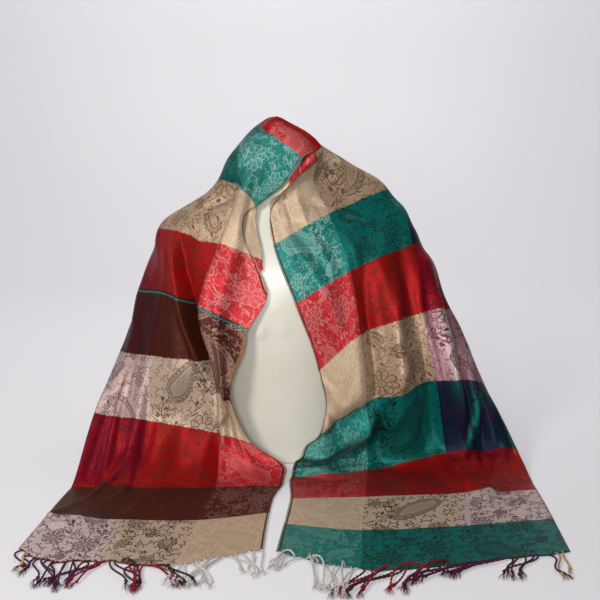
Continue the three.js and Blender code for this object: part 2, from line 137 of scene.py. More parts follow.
# One row for each line across the shawl. along is measured from the middle of the neck, below zero
# towards the left end, and each place is (across, x, y, z), across from the selvedge by the neck opening.
# along: inner, stripe, crest, outer, fold
SECTIONS = {
    -935: ((0, -15, -396, 0), (130, -133, -438, 0), (270, -238, -430, 0), (370, -318, -422, 0),
           (415, -356, -392, 0)),
    -715: ((0, -8, -188, 0), (130, -102, -197, 0), (270, -222, -198, 0), (365, -292, -197, 0),
           (412, -331, -194, 0)),
    -605: ((0, -40, -136, 54), (130, -97, -126, 64), (270, -214, -112, 80), (360, -280, -108, 88),
           (408, -309, -104, 91)),
    -495: ((0, -78, -130, 149), (130, -108, -122, 181), (270, -206, -92, 186), (345, -252, -62, 182),
           (400, -277, -28, 176)),
    -385: ((0, -47, -118, 240), (130, -130, -105, 277), (270, -191, -62, 291), (330, -241, -15, 286),
           (385, -238, 34, 272)),
    -275: ((0, -26, -95, 350), (130, -98, -77, 373), (280, -203, -4, 386), (330, -208, 40, 368),
           (368, -202, 70, 330)),
    -165: ((0, -34, -72, 430), (130, -61, -47, 461), (190, -106, 5, 466), (290, -134, 78, 398),
           (375, -142, 96, 318)),
    -110: ((0, 11, -68, 470), (130, -58, -37, 505), (180, -82, 8, 508), (290, -98, 86, 412),
           (380, -98, 106, 320)),
    -55: ((0, 41, -62, 513), (130, -24, -22, 549), (180, -36, 25, 556), (300, -48, 90, 425),
          (388, -50, 114, 328)),
    0: ((0, 60, -54, 521), (130, 5, -4, 574), (180, 4, 42, 560), (298, 2, 92, 430),
        (390, 0, 118, 322)),
    55: ((0, 22, -66, 484), (130, 66, -12, 527), (180, 64, 35, 526), (300, 54, 90, 425),
         (388, 50, 115, 330)),
    110: ((0, -10, -68, 436), (130, 58, -47, 477), (205, 110, 2, 501), (305, 106, 84, 418),
          (388, 100, 108, 326)),
    165: ((0, -7, -76, 376), (130, 81, -57, 426), (240, 173, 2, 453), (325, 164, 66, 400),
          (390, 150, 96, 328)),
    275: ((0, 27, -112, 287), (130, 117, -100, 340), (275, 222, -34, 371), (340, 247, 18, 364),
          (390, 234, 62, 334)),
    385: ((0, 64, -129, 179), (130, 133, -121, 237), (270, 236, -80, 265), (345, 287, -34, 262),
          (400, 292, 4, 250)),
    495: ((0, 61, -148, 80), (130, 144, -136, 125), (270, 260, -106, 155), (360, 331, -74, 146),
          (412, 352, -44, 128)),
    605: ((0, 20, -152, 2), (130, 148, -122, 3), (270, 280, -101, 26), (360, 352, -98, 31),
          (420, 400, -95, 31)),
    715: ((0, 18, -231, 0), (130, 136, -224, 0), (270, 285, -212, 0), (365, 360, -205, 0),
          (425, 411, -197, 0)),
    935: ((0, 2, -404, 0), (130, 115, -452, 0), (270, 246, -436, 0), (370, 340, -416, 0),
          (425, 408, -403, 0)),
}

# Sideways bow of the inner edge: along, sideways
INNER_BOWS = (
    (-935, 0), (-770, 0), (-690, 22), (-650, 34), (-605, 0), (-550, -4), (-440, 5), (-412, 2), (-385, -3),
    (-358, 7), (-330, 16), (-275, 0), (385, 0), (440, 9), (490, 6), (506, 2), (520, -9), (550, -12),
    (605, 0), (935, 0),
)

# Creases: from (along, across), to (along, across), height, width
CREASES = (
    # left front: the raised pleat beside the neck opening and the trough beside it
    ((-150, 92), (-520, 70), 11, 22),
    ((-250, 165), (-520, 165), -15, 24),
    ((-300, 235), (-520, 225), 7, 26),
    ((-330, 310), (-640, 330), -7, 24),
    ((-560, 95), (-700, 120), -8, 24),
    ((-570, 200), (-690, 215), -8, 22),
    ((-560, 300), (-690, 300), 8, 24),
    ((-780, 250), (-850, 255), 9, 22),
    ((-745, 330), (-820, 380), 8, 24),
    # right front
    ((170, 45), (330, 60), 6, 22),
    ((170, 110), (330, 105), -6, 22),
    ((300, 150), (560, 150), -10, 24),
    ((290, 205), (560, 205), 9, 24),
    ((300, 245), (540, 250), -8, 22),
    ((330, 290), (580, 300), 10, 26),
    ((380, 340), (600, 350), -8, 22),
    ((500, 20), (620, 60), 12, 24),
    ((700, 300), (760, 320), 7, 24),
    ((780, 380), (850, 395), 6, 22),
    # neck and shoulders
    ((-60, 40), (-150, 100), 5, 24),
    ((110, 150), (280, 210), -7, 26),
    ((120, 225), (290, 290), 6, 26),
    # soft flutes down the back
    ((-236, 330), (-225, 380), 8, 26),
    ((-175, 290), (-185, 380), -8, 24),
    ((-115, 285), (-125, 390), 10, 26),
    ((-30, 240), (-45, 390), -6, 28),
    ((45, 275), (40, 390), 10, 26),
    ((120, 260), (125, 390), -7, 26),
    ((200, 310), (195, 395), 11, 26),
    ((290, 300), (275, 395), -7, 24),
)
# Finer creases, which only show here: the same columns
FINE_CREASES = (
    # the back hangs in soft ridges from the neck
    ((-28, 205), (-72, 372), 5, 15), ((18, 214), (40, 384), 6, 13), ((78, 228), (126, 366), 7, 17),
    ((-92, 236), (-140, 352), 5, 12), ((150, 246), (208, 350), 6, 16), ((-176, 252), (-238, 338), 7, 18),
    # left front
    ((-180, 150), (-330, 190), -3.0, 9), ((-200, 215), (-360, 262), 2.6, 11),
    ((-300, 205), (-470, 190), -3.4, 9), ((-400, 275), (-560, 292), 2.4, 9),
    ((-520, 345), (-690, 372), -3.4, 9), ((-540, 322), (-690, 330), 3.0, 8),
    ((-545, 240), (-660, 262), -2.6, 8), ((-560, 148), (-680, 168), 2.4, 10),
    ((-610, 60), (-700, 42), 3.0, 12), ((-735, 300), (-800, 345), 3.0, 12),
    ((-700, 336), (-806, 406), 11, 10), ((-812, 322), (-846, 386), 8, 13),
    ((-730, 60), (-800, 92), 1.8, 12), ((-790, 150), (-860, 128), 1.8, 14),
    # right front
    ((120, 18), (205, 42), 3.0, 8), ((110, 45), (230, 70), -3.0, 8), ((125, 78), (235, 92), 2.6, 9),
    ((240, 150), (380, 168), 3.2, 10), ((300, 178), (470, 182), -3.4, 9), ((380, 228), (560, 232), -2.6, 8),
    ((360, 268), (560, 276), 2.4, 9), ((400, 316), (590, 326), 3.6, 8), ((430, 366), (600, 380), 2.6, 9),
    ((420, 14), (470, 60), 3.0, 9), ((450, 8), (520, 70), -3.6, 9), ((520, 110), (640, 128), -2.2, 10),
    ((660, 80), (740, 70), 1.6, 12), ((700, 330), (770, 352), 3.0, 12), ((760, 200), (840, 210), 1.6, 14),
    ((300, 160), (520, 158), -6, 11), ((365, 216), (500, 192), 7, 13), ((390, 272), (530, 256), -7, 13),
    ((478, 194), (534, 128), 8, 13), ((534, 128), (542, 44), 9, 12), ((542, 44), (538, 0), 9, 10),
    ((560, 150), (578, 40), -6, 12), ((503, 110), (506, 40), -6, 13), ((470, 352), (550, 346), 7, 9),
    ((550, 346), (605, 312), 7, 9), ((480, 330), (556, 322), -6, 9), ((500, 376), (590, 352), -5, 9),
    ((385, 303), (520, 309), 7, 8), ((385, 284), (520, 286), -6, 9), ((385, 328), (520, 336), -5, 9),
    ((295, 262), (385, 270), 4, 12), ((615, 384), (722, 326), 6, 14), ((690, 372), (760, 385), 3, 18),
    ((590, 250), (680, 262), 3, 12),
    # left front again
    ((-350, 158), (-500, 138), -20, 14), ((-320, 212), (-480, 172), 19, 14),
    ((-190, 150), (-300, 176), -5, 12), ((-165, 205), (-260, 232), -4, 12),
    ((-560, 345), (-680, 352), 5, 9), ((-560, 365), (-690, 392), -5, 9), ((-560, 276), (-690, 282), -4, 9),
    ((-765, 262), (-840, 300), 7, 14), ((-790, 205), (-850, 214), 4, 13), ((-870, 236), (-930, 246), 5, 14),
    # neck
    ((-95, 60), (-150, 40), -2.4, 8), ((-30, 70), (-110, 118), 2.4, 9), ((10, 60), (60, 96), -2.4, 9),
    ((-60, 130), (45, 130), 5, 9), ((6, 100), (26, 230), -7, 24),
)

# What the cloth's edge does beside the neck opening: along, width, for each of four states
EDGE_STATES = {
    # the upper layer ends this far from the edge of the under layer
    "drawn_back": ((-320, 0), (-300, 5), (-280, 16), (-258, 47), (-240, 64), (-222, 72), (-205, 72),
                   (-190, 62), (-178, 46), (-168, 22), (-158, 4), (-150, 0)),
    # a strip of this width is turned over outwards
    "turned_over": ((-6, 0), (2, 36), (14, 72), (30, 77), (60, 66), (85, 40), (106, 16), (120, 5), (140, 0)),
    # the selvedge is folded away beneath, and this much cloth with it
    "turned_under": ((-510, 0), (-492, 10), (-470, 30), (-385, 26), (-335, 8), (-320, 0)),
    # cloth taken up in the knife pleat
    "hidden": ((-700, 0), (-640, 12), (-600, 40), (-560, 62), (-510, 84), (-492, 78), (-470, 48),
               (-385, 22), (-335, 36), (-320, 44), (-300, 44), (-280, 46), (-258, 58), (-240, 68),
               (-222, 74), (-205, 72), (-190, 62), (-178, 46), (-168, 22), (-158, 4), (-150, 0)),
}
# Where the weave's reverse shows at the left edge: along at either end and across, from none to full
REVERSE_SHOWN = ((-388, -396), (-492, -480), (5, 4))
# Where the weave is pulled askew: along, across, half length, half width, shift across, shift along
PULLS = (
    (-88, 132, 34, 55, -20, 0), (-85, 160, 11, 28, -24, 0), (-56, 120, 14, 30, 12, 0),
    (5, 150, 45, 60, 15, 0), (-818, 365, 26, 38, 0, -13),
)
# Painted sheen: the weft's colour is painted in where the cloth lies level, in place of the shot weave's
# sheen under the light: the upward part of its normal, from, to
PAINTED_SHEEN_LEVELNESS = (0.72, 0.93)
# and painted highlights along chosen ridges: from, to, share, width
PAINTED_HIGHLIGHT_RIDGES = (
    ((500, 351), (552, 346), 0.9, 6),
    ((552, 346), (602, 312), 0.9, 6),
    ((500, 182), (534, 128), 0.7, 16),
    ((534, 128), (542, 10), 0.7, 16),
    ((-560, 60), (-715, 60), 0.9, 60),
    ((520, 60), (600, 60), 0.8, 70),
    ((398, 303), (470, 304), 0.9, 9),
    ((300, 300), (380, 303), 0.5, 10),
    ((-600, 330), (-690, 345), 0.5, 8),
)

# Laps: along the line from one (along, across) to the other, the cloth towards the fold lies over the
# cloth towards the neck opening, higher by height, which dies away over width
LAPS = (
    ((-486, -6), (-588, 132), 7, 60),
    ((-40, 122), (-170, 134), 4, 40),
)


# ---------------------------------------------------------------- curves through rows
def through_rows(stations, values, at):
    """A smooth curve through rows of values at increasing stations."""
    stations = np.asarray(stations, float)
    values = np.asarray(values, float)
    if values.ndim == 1:
        return through_rows(stations, values[:, None], at)[..., 0]
    at = np.clip(np.asarray(at, float), stations[0], stations[-1])
    slopes = np.empty_like(values)
    slopes[1:-1] = (values[2:] - values[:-2]) / (stations[2:] - stations[:-2])[:, None]
    slopes[0] = (values[1] - values[0]) / (stations[1] - stations[0])
    slopes[-1] = (values[-1] - values[-2]) / (stations[-1] - stations[-2])
    index = np.clip(np.searchsorted(stations, at, side="right") - 1, 0, len(stations) - 2)
    span = (stations[index + 1] - stations[index])[..., None]
    t = (at - stations[index])[..., None] / span
    ends = values[index] * (1 + 2 * t) * (1 - t) ** 2 + values[index + 1] * t * t * (3 - 2 * t)
    return ends + slopes[index] * span * t * (1 - t) ** 2 - slopes[index + 1] * span * t * t * (1 - t)


def smoothstep(low, high, value):
    t = np.clip((np.asarray(value, float) - low) / (high - low), 0, 1)
    return t * t * (3 - 2 * t)


def ripple(seed, size, *coords):
    """Soft random unevenness from -1 to 1, about size across."""
    rng = np.random.default_rng(seed)
    total = 0
    for _ in range(7):
        direction = rng.normal(size=len(coords))
        direction /= np.linalg.norm(direction) / rng.uniform(0.6, 1.5)
        phase = rng.uniform(0, 2 * math.pi)
        total = total + np.sin(sum(d * c for d, c in zip(direction, coords)) * 2 * math.pi / size + phase)
    return total / 4


# ---------------------------------------------------------------- the bust's form
def bust_distance(points):
    values = through_rows(BUST_LEVELS[:, 0], BUST_LEVELS[:, 1:], points[..., 2])
    half, front, back = values[..., 0], values[..., 1], values[..., 2]
    depth = (back - front) / 2
    x = np.abs(points[..., 0]) / half
    y = np.abs(points[..., 1] - (front + back) / 2) / depth
    reach = (x**BUST_SQUARENESS + y**BUST_SQUARENESS) ** (1 / BUST_SQUARENESS)
    return np.maximum((reach - 1) * np.minimum(half, depth), points[..., 2] - BUST_TOP)


def clear_of_bust(points, clearance):
    points = points.copy()
    for _ in range(CLEARING_ROUNDS):
        slope = np.empty_like(points)
        for axis in range(3):
            step = np.zeros(3)
            step[axis] = FINITE_STEP / 2
            slope[..., axis] = (bust_distance(points + step) - bust_distance(points - step)) / FINITE_STEP
        steepness = np.maximum(np.linalg.norm(slope, axis=-1), LEAST_STEEPNESS)
        short = np.maximum(clearance - bust_distance(points) / steepness, 0)
        points += slope / steepness[..., None] * short[..., None]
    return points


# ---------------------------------------------------------------- the drape
ALONGS = np.array(sorted(SECTIONS), float)
RAIL_ROWS = np.array([SECTIONS[a] for a in sorted(SECTIONS)], float)


def smooth_places(along, across):
    """Places on the drape before its creases, for one row of along and each row's across."""
    lines = through_rows(ALONGS, RAIL_ROWS.reshape(len(ALONGS), -1), along).reshape(-1, 5, 4)
    places = np.stack([
        through_rows(line[:, 0], line[:, 1:], row) for line, row in zip(lines, across)
    ])
    bow = through_rows(*np.array(INNER_BOWS, float).T, along)[:, None]
    places[..., 0] += bow * np.maximum(0, 1 - across / INNER_BOW_REACH) ** 2
    return places


def beside_line(along, across, start, end):
    """How far down a line from start to end, from 0 to 1, and how far aside of it, in mm."""
    run = np.subtract(end, start).astype(float)
    length = np.hypot(*run)
    d_along, d_across = along - start[0], across - start[1]
    down = (d_along * run[0] + d_across * run[1]) / length**2
    return down, (d_along * run[1] - d_across * run[0]) / length


def crease_lift(along, across, creases):
    total = np.zeros(np.broadcast(along, across).shape)
    for start, end, height, width in creases:
        down, aside = beside_line(along, across, start, end)
        past = np.maximum(0, np.maximum(-down, down - 1)) * math.dist(start, end)
        total += height * np.exp(-((aside / width) ** 2) - (past / CREASE_FADE) ** 2)
    return total


def normals_of(places):
    by_along = np.gradient(places, axis=0)
    by_across = np.gradient(places, axis=1)
    normal = np.cross(by_along, by_across)
    return normal / np.maximum(np.linalg.norm(normal, axis=-1, keepdims=True), 1e-9)


def pleat_step(across):
    """The ridge before the pleat's edge and the valley beyond it."""
    before, ridge_width, ridge = PLEAT_RIDGE
    valley_width, valley = PLEAT_VALLEY
    beyond = smoothstep(PLEAT_AT - 1, PLEAT_AT + PLEAT_WIDTH, across)
    raised = np.exp(-(((across - PLEAT_AT + before) / ridge_width) ** 2)) * (1 - beyond)
    return raised * ridge - beyond * np.exp(-((across - PLEAT_AT) / valley_width) ** 2) * valley


def unevenness(smooth):
    """Soft small folds, and others where the cloth lies on the table."""
    x, y, z = (smooth[..., k] for k in range(3))
    soft = ripple(3, 120, x, y, z) * 1.3 + ripple(5, 55, x, y, z) * 0.5
    lying = np.exp(-((z / 12) ** 2))
    return soft * (1 - 0.45 * lying) + lying * ripple(9, 75, x, y) * 0.9


class Drape:
    """The middle of the folded cloth on a grid: each row from the inner edge to the fold."""

    def __init__(self):
        rows = int(round(2 * HALF_LENGTH / ROW_STEP)) + 1
        self.along = np.linspace(-HALF_LENGTH, HALF_LENGTH, rows)
        self.fold = through_rows(ALONGS, RAIL_ROWS[:, 4, 0], self.along)
        self.share = np.linspace(0, 1, DRAPE_COLUMNS)
        across = self.fold[:, None] * self.share
        along = self.along[:, None]
        smooth = smooth_places(self.along, across)
        lift = crease_lift(along, across, CREASES) + crease_lift(along, across, FINE_CREASES)
        lift += unevenness(smooth)
        widths = [np.interp(self.along, *np.transpose(rows)) for rows in EDGE_STATES.values()]
        self.states = np.stack(widths, -1)
        pleat = smoothstep(0, PLEAT_FULL_AT, widths[3])[:, None]
        lift += pleat * PLEAT_DROP * pleat_step(across)
        for start, end, height, width in LAPS:
            down, aside = beside_line(along, across, start, end)
            ends = smoothstep(-0.15, 0.05, down) * smoothstep(1.15, 0.95, down)
            lift += height * ends * smoothstep(-2, 2, aside) * np.exp(-np.maximum(aside, 0) / width)
        places = smooth + normals_of(smooth) * lift[..., None]
        by_hem = smoothstep(HALF_LENGTH - HEM_REACH, HALF_LENGTH, np.abs(along))
        places[..., 1] += by_hem * HEM_RIPPLE * ripple(31, 48, across, along * 0.2)
        places = clear_of_bust(places, CLOTH_CLEARANCE)
        places[..., 2] = np.maximum(places[..., 2], LEAST_HEIGHT)
        self.places = places
        self.normal = normals_of(places)

    def at(self, across):
        """Places and normals at each row's own distances across."""
        share = np.clip(across / self.fold[:, None], 0, 1) * (len(self.share) - 1)
        low = np.clip(share.astype(int), 0, len(self.share) - 2)
        t = (share - low)[..., None]
        rows = np.arange(len(self.along))[:, None]
        place = self.places[rows, low] * (1 - t) + self.places[rows, low + 1] * t
        normal = self.normal[rows, low] * (1 - t) + self.normal[rows, low + 1] * t
        return place, normal / np.linalg.norm(normal, axis=-1, keepdims=True)


def upper_layer(drape):
    """Places and cloth coordinates of the upper layer, from its selvedge to the fold."""
    drawn, over, under, hidden = (drape.states[:, k][:, None] for k in range(4))
    share = np.linspace(0, 1, UPPER_COLUMNS)
    # the turned strip takes the first columns: from its selvedge to its fold, then out again below
    strip_share = STRIP_SHARE * np.clip(over / STRIP_SHARE_FROM, 0, 1)
    flap = share < strip_share
    back = np.clip(share / np.maximum(strip_share, 1e-6), 0, 1)
    main_share = np.clip((share - strip_share) / (1 - strip_share), 0, 1)
    across = np.where(flap, over * (1 - back), drawn + (drape.fold[:, None] - drawn) * main_share)
    place, normal = drape.at(across)
    edge, _ = drape.at(0 * across)
    inner, _ = drape.at(0 * across + EDGE_PROBE)
    outwards = (edge - inner) / np.linalg.norm(edge - inner, axis=-1, keepdims=True)
    turn = smoothstep(*STRIP_TURN, over)
    place = place + outwards * np.where(flap, STRIP_OVERHANG * turn * back**2, 0)[..., None]
    strip_height = (STRIP_FOOT + STRIP_HEIGHT * np.sin((1 - back) ** STRIP_ROUNDING * math.pi)) * turn
    height = HALF_LAYER + np.where(flap, strip_height, 0)
    # cloth coordinate: the turned strip runs back to 0, and the pleat hides its share at one place
    strip_cloth = np.where(flap, over * back, across + over * np.exp(-across / STRIP_CLOTH_REACH))
    visible = PLEAT_AT - hidden - under
    before = under + np.clip((across - drawn) / (PLEAT_AT - drawn), 0, 1) * visible
    jump = np.clip((across - PLEAT_AT) / PLEAT_WIDTH, 0, 1) * (hidden + PLEAT_WIDTH)
    pleated = before + jump + np.maximum(across - PLEAT_AT - PLEAT_WIDTH, 0)
    cloth = np.where(over > 0.5, strip_cloth, pleated)
    height = height * rounded_fold(drape.fold[:, None] - across)
    # the cloth beside the turned strip is pulled away from the neck
    along = drape.along[:, None]
    pull_at, half_along, half_across, low, high, shift = STRIP_PULL
    beside = shift * np.exp(-((along - pull_at) / half_along) ** 2 - (across / half_across) ** 2)
    beside = beside * smoothstep(low, high, across) * smoothstep(0, STRIP_PULL_FULL_AT, over)
    pulled = along + np.where(flap, 0, beside)
    slip_at, half_slip, slip = PLEAT_SLIP
    in_front = smoothstep(PLEAT_AT + PLEAT_WIDTH, PLEAT_AT, across)
    pulled = pulled + slip * np.exp(-((along - slip_at) / half_slip) ** 2) * in_front
    for at_along, at_across, half_along, half_across, by_across, by_along in PULLS:
        near = np.exp(-((along - at_along) / half_along) ** 2 - ((across - at_across) / half_across) ** 2)
        cloth = cloth + near * by_across
        pulled = pulled + near * by_along
    return place + normal * height[..., None], cloth, pulled


def rounded_fold(to_fold):
    """A layer's share of its height: it turns in towards the middle round the fold."""
    return np.sqrt(np.clip(1 - (1 - np.clip(to_fold / FOLD_RADIUS, 0, 1)) ** 2, 0, 1))


def under_layer(drape):
    """The same for the under layer, from the fold back to its own selvedge."""
    fold = drape.fold[:, None]
    end = np.maximum(2 * fold - WIDTH, 0)
    shown = smoothstep(2, 12, drape.states[:, 0])[:, None]
    end = end * (1 - shown)
    last = WIDTH - ROLLED_EDGE * shown
    share = np.linspace(0, 1, UNDER_COLUMNS + 1)[1:]
    across = fold + (end - fold) * share
    place, normal = drape.at(across)
    depth = HALF_LAYER * rounded_fold(fold - across)
    cloth = fold + (last - fold) * share
    return place - normal * depth[..., None], cloth


# ---------------------------------------------------------------- meshes
def add_object(name, points, faces):
    mesh = bpy.data.meshes.new(name)
    points = np.asarray(points, np.float64).reshape(-1, 3) + SHIFT
    mesh.from_pydata((points * MM).tolist(), [], [list(map(int, f)) for f in faces])
    mesh.polygons.foreach_set("use_smooth", [True] * len(mesh.polygons))
    obj = bpy.data.objects.new(name, mesh)
    bpy.context.scene.collection.objects.link(obj)
    return obj


def grid_faces(rows, columns):
    a = (np.arange(rows - 1)[:, None] * columns + np.arange(columns - 1)).ravel()
    return np.stack([a, a + columns, a + columns + 1, a + 1], -1)


def set_uv(obj, coords):
    layer = obj.data.uv_layers.new(name="cloth")
    loops = np.empty(len(obj.data.loops), np.int32)
    obj.data.loops.foreach_get("vertex_index", loops)
    layer.data.foreach_set("uv", np.asarray(coords, np.float32)[loops].ravel())


def set_number(obj, name, values):
    attribute = obj.data.attributes.new(name, "FLOAT", "POINT")
    attribute.data.foreach_set("value", np.asarray(values, np.float32).ravel())


def set_colour(obj, name, values):
    attribute = obj.data.color_attributes.new(name, "FLOAT_COLOR", "POINT")
    rgba = np.concatenate([values, np.ones((len(values), 1))], 1)
    attribute.data.foreach_set("color", rgba.astype(np.float32).ravel())


# ---------------------------------------------------------------- fields of math nodes
def connect(tree, node, inputs):
    """Links or sets inputs of a node, named or counted. A tuple is a colour."""
    for key, value in inputs.items():
        if isinstance(value, Field):
            value = value.socket
        if isinstance(value, bpy.types.NodeSocket):
            tree.links.new(value, node.inputs[key])
        else:
            node.inputs[key].default_value = (*value, 1) if isinstance(value, tuple) else value


def new_node(tree, kind, inputs, **settings):
    node = tree.nodes.new("ShaderNode" + kind)
    for name, value in settings.items():
        setattr(node, name, value)
    connect(tree, node, inputs)
    return node


class Field:
    """A number at every point of a material."""

    def __init__(self, tree, socket):
        self.tree, self.socket = tree, socket

    def math(self, kind, *others):
        inputs = dict(enumerate((self, *others)))
        return Field(self.tree, new_node(self.tree, "Math", inputs, operation=kind).outputs[0])

    __add__ = partialmethod(math, "ADD")
    __sub__ = partialmethod(math, "SUBTRACT")
    __mul__ = partialmethod(math, "MULTIPLY")
    __truediv__ = partialmethod(math, "DIVIDE")
    __pow__ = partialmethod(math, "POWER")
    __abs__ = partialmethod(math, "ABSOLUTE")
    sin = partialmethod(math, "SINE")
    cos = partialmethod(math, "COSINE")
    least = partialmethod(math, "MINIMUM")
    most = partialmethod(math, "MAXIMUM")

    def clamped(self, low=0.0, high=1.0):
        return self.most(low).least(high)

    def mapped(self, low, high, start=0.0, end=1.0):
        inputs = {"Value": self, "From Min": low, "From Max": high, "To Min": start, "To Max": end}
        return Field(self.tree, new_node(self.tree, "MapRange", inputs, clamp=True).outputs[0])

    def line(self, half, soft=0.35):
        """1 on the line where this is 0, half wide to each side."""
        return abs(self).mapped(half, half + soft, 1, 0)

    def inside(self, soft=0.3):
        """1 where this is below 0."""
        return self.mapped(-soft, soft, 1, 0)


def turned(x, y, angle):
    c, s = math.cos(angle), math.sin(angle)
    return x * c + y * s, y * c - x * s


def flower(x, y, centre, radius, petals, turn, weight=0.55):
    """(lines, inside, tone) of a round flower whose petals fan out from its heart."""
    dx, dy = x - centre[0], y - centre[1]
    r = (dx * dx + dy * dy).math("SQRT")
    angle = dy.math("ARCTAN2", dx) + turn
    wave = (angle * (petals / 2)).sin()
    rim = abs(wave) * (0.2 * radius) + 0.82 * radius
    inside = (r - rim).inside()
    outside_heart = (r - 0.3 * radius).mapped(-0.3, 0.3)
    divider = (wave * r * (2 / petals)).line(weight * 0.8) * inside * outside_heart
    lines = (r - rim).line(weight).most((r - 0.3 * radius).line(weight * 0.8)).most(divider)
    lines = lines.most((r - rim * 0.66).line(weight * 0.5) * 0.7)
    tone = inside * ((angle * petals + 0.8).sin().mapped(-0.2, 0.2, 0.16, 0.42))
    return lines, inside, tone


def paisley(x, y, centre, length, turn, side, weight=0.55):
    """(lines, inside, tone) of a bent teardrop with rows of lines inside its edge."""
    a, b = turned(x - centre[0], y - centre[1], turn)
    t = (a / length).clamped(0.001, 0.999)
    bent = b - t * t * (side * 0.34 * length)
    half = (t ** 0.5) * ((t * -1 + 1) ** 0.8) * (0.66 * length)
    edge = (abs(bent) - half).most(a * -1).most(a - length)
    beads = ((a + bent) * 0.9).sin().mapped(-0.3, 0.1)
    lines = (edge + 1).line(weight).most((edge + 4.2).line(0.8) * beads)
    lines = lines.most((edge + 8).line(weight * 0.6)).most((edge + 9.8).line(weight * 0.6))
    hatch = ((a - bent * 0.6) * 1.9).sin().mapped(0.45, 0.7) * (edge + 12.5).inside()
    lines = lines.most(hatch * 0.75)
    inside = edge.inside()
    tone = inside * (edge + 8).mapped(-0.5, 0.5, 0.12, 0.32)
    return lines, inside, tone


def vine(x, y, sway, period, leaf_pitch, phase):
    """A swaying stem with a leaf and a curl at each pitch, on alternate sides."""
    wave = y * (2 * math.pi / period) + phase
    aside = x - wave.sin() * sway
    stem = aside.line(0.5)
    pitch = y / leaf_pitch
    local = (pitch.math("FRACT") - 0.5) * leaf_pitch
    side = (pitch * math.pi).sin().mapped(-0.01, 0.01, -1, 1)
    out = aside * side
    a, b = turned(out - 7.5, local - 1.5, 0.75)
    leaf = (abs(b + a * a * 0.03) - (a * a * -0.07 + 2.3)).inside().least(abs(a).mapped(5.6, 6.0, 1, 0))
    c, d = turned(out + 7, local + 2, -0.6)
    curl_r = (c * c + d * d).math("SQRT")
    curl = (curl_r - 4.2).line(0.65) * (d + 1.2).mapped(-0.4, 0.4) + (curl_r - 1.1).inside()
    return stem.most(leaf * 0.9).most(curl * 0.9)


def flat_vector(tree, x, y):
    return new_node(tree, "CombineXYZ", {0: x, 1: y}).outputs[0]


def scattered_sprigs(tree, x, y, size, reach):
    """Small sprigs of three leaves at random places and angles, one to a cell."""
    place = flat_vector(tree, x / size, y / size)
    inputs = {"Vector": place, "Scale": 1, "Randomness": 0.7}
    cells = new_node(tree, "TexVoronoi", inputs, voronoi_dimensions="2D")
    offset = new_node(tree, "VectorMath", {0: place, 1: cells.outputs["Position"]}, operation="SUBTRACT")
    parts = new_node(tree, "SeparateXYZ", {0: offset.outputs[0]})
    lx, ly = Field(tree, parts.outputs[0]) * size, Field(tree, parts.outputs[1]) * size
    colour = new_node(tree, "SeparateColor", {0: cells.outputs["Color"]})
    r = (lx * lx + ly * ly).math("SQRT")
    angle = ly.math("ARCTAN2", lx) + Field(tree, colour.outputs[0]) * 6.28
    lobes = abs((angle * 1.5).cos()) ** 3.5
    return (r - lobes * reach).inside()


# ---------------------------------------------------------------- colours of the weave
# Each stripe of weft over each stripe of warp: the ground's colour, then the figure's
GROUND_AND_FIGURE = {
    "red": {
        "white": ((0.350, 0.013, 0.017), (0.43, 0.145, 0.14)),
        "maroon": ((0.245, 0.003, 0.003), (0.100, 0.010, 0.006)),
        "purple": ((0.175, 0.002, 0.009), (0.065, 0.002, 0.009)),
        "gold": ((0.340, 0.022, 0.008), (0.40, 0.10, 0.03)),
    },
    "teal": {
        "white": ((0.003, 0.130, 0.108), (0.180, 0.310, 0.280)),
        "maroon": ((0.001, 0.105, 0.090), (0.006, 0.022, 0.018)),
        "purple": ((0.002, 0.012, 0.026), (0.022, 0.006, 0.030)),
        "gold": ((0.006, 0.070, 0.050), (0.10, 0.11, 0.04)),
    },
    "tan": {
        "white": ((0.385, 0.278, 0.186), (0.470, 0.362, 0.262)),
        "maroon": ((0.340, 0.235, 0.155), (0.095, 0.052, 0.028)),
        "purple": ((0.300, 0.165, 0.175), (0.125, 0.022, 0.065)),
        "gold": ((0.380, 0.260, 0.120), (0.42, 0.26, 0.08)),
    },
    "cream": {
        "white": ((0.450, 0.340, 0.235), (0.230, 0.155, 0.100)),
        "maroon": ((0.430, 0.325, 0.240), (0.075, 0.042, 0.028)),
        "purple": ((0.405, 0.295, 0.268), (0.095, 0.030, 0.050)),
        "gold": ((0.430, 0.320, 0.250), (0.13, 0.06, 0.05)),
    },
    "brown": {
        "white": ((0.050, 0.008, 0.005), (0.270, 0.160, 0.125)),
        "maroon": ((0.054, 0.010, 0.004), (0.034, 0.007, 0.004)),
        "purple": ((0.046, 0.006, 0.006), (0.026, 0.004, 0.006)),
        "gold": ((0.080, 0.030, 0.008), (0.12, 0.06, 0.015)),
    },
}
# Stripes of weft from the left end to the right end
BANDS = ("cream", "brown", "red", "cream", "brown", "red", "tan", "teal", "red", "tan", "teal", "red",
         "tan", "teal", "red", "cream", "teal")
# the pale ground painted on the purple and gold stripes of tan and cream bands where painted sheen is laid
PALE_PAINTED_SHEEN = (0.45, 0.355, 0.325)
TEAL_LINE_AT = 385
# Stripes of warp from the neck-side selvedge: name and width
WARPS = (("white", 130), ("maroon", 140), ("purple", 140), ("gold", 140), ("white", 150))


def stepped_ramp(tree, factor, colours):
    """Colours that change all at once, each for the same share of factor."""
    node = new_node(tree, "ValToRGB", {0: factor})
    node.color_ramp.interpolation = "CONSTANT"
    elements = node.color_ramp.elements
    while len(elements) < len(colours):
        elements.new(0.5)
    for i, colour in enumerate(colours):
        elements[i].position = i / len(colours)
        elements[i].color = (*colour, 1)
    return node.outputs[0]


def mixed(tree, factor, low, high):
    inputs = {0: factor, 6: low, 7: high}
    return new_node(tree, "Mix", inputs, data_type="RGBA", clamp_factor=True).outputs[2]


def noise(tree, x, y, size, detail=2.0):
    """Noise about size across: its value, and a colour of three others."""
    inputs = {"Vector": flat_vector(tree, x / size, y / size), "Scale": 1, "Detail": detail}
    node = new_node(tree, "TexNoise", inputs, noise_dimensions="2D")
    return Field(tree, node.outputs[0]), node.outputs[1]


